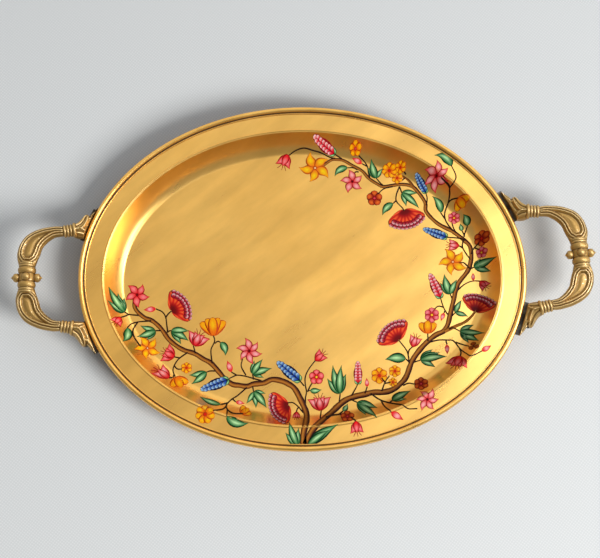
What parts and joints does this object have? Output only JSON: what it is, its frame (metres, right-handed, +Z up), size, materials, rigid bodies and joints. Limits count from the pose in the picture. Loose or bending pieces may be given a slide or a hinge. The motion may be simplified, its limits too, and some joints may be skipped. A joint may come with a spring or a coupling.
{
  "type": "oval serving tray",
  "caption": "Oval brass serving tray with a shallow well, a wide flat rim, a beaded rim moulding and cast scroll handles on leaf feet.",
  "frame": {"origin": "centre of the flat base, on the surface the tray stands on", "axes": "+Z up out of the well, +X along the long axis towards the right handle, +Y towards the back"},
  "size_m": [0.5046, 0.307, 0.0394],
  "materials": {
    "sheet_brass": "satin, finely brushed, hand painted with enamel flowers",
    "moulding_brass": "polished on the crown of the bead",
    "cast_brass": "cast, dulled in the recesses",
    "blackened_plate": "blackened",
    "screw_brass": "turned"
  },
  "bodies": {
    "root": {"tray_pan": "sheet_brass", "rim_moulding": "moulding_brass", "handle_left": "cast_brass", "handle_right": "cast_brass", "plate_left_front": "blackened_plate", "plate_left_back": "blackened_plate", "plate_right_front": "blackened_plate", "plate_right_back": "blackened_plate", "screws_left_front": "screw_brass", "screws_left_back": "screw_brass", "screws_right_front": "screw_brass", "screws_right_back": "screw_brass"}
  },
  "joints": []
}
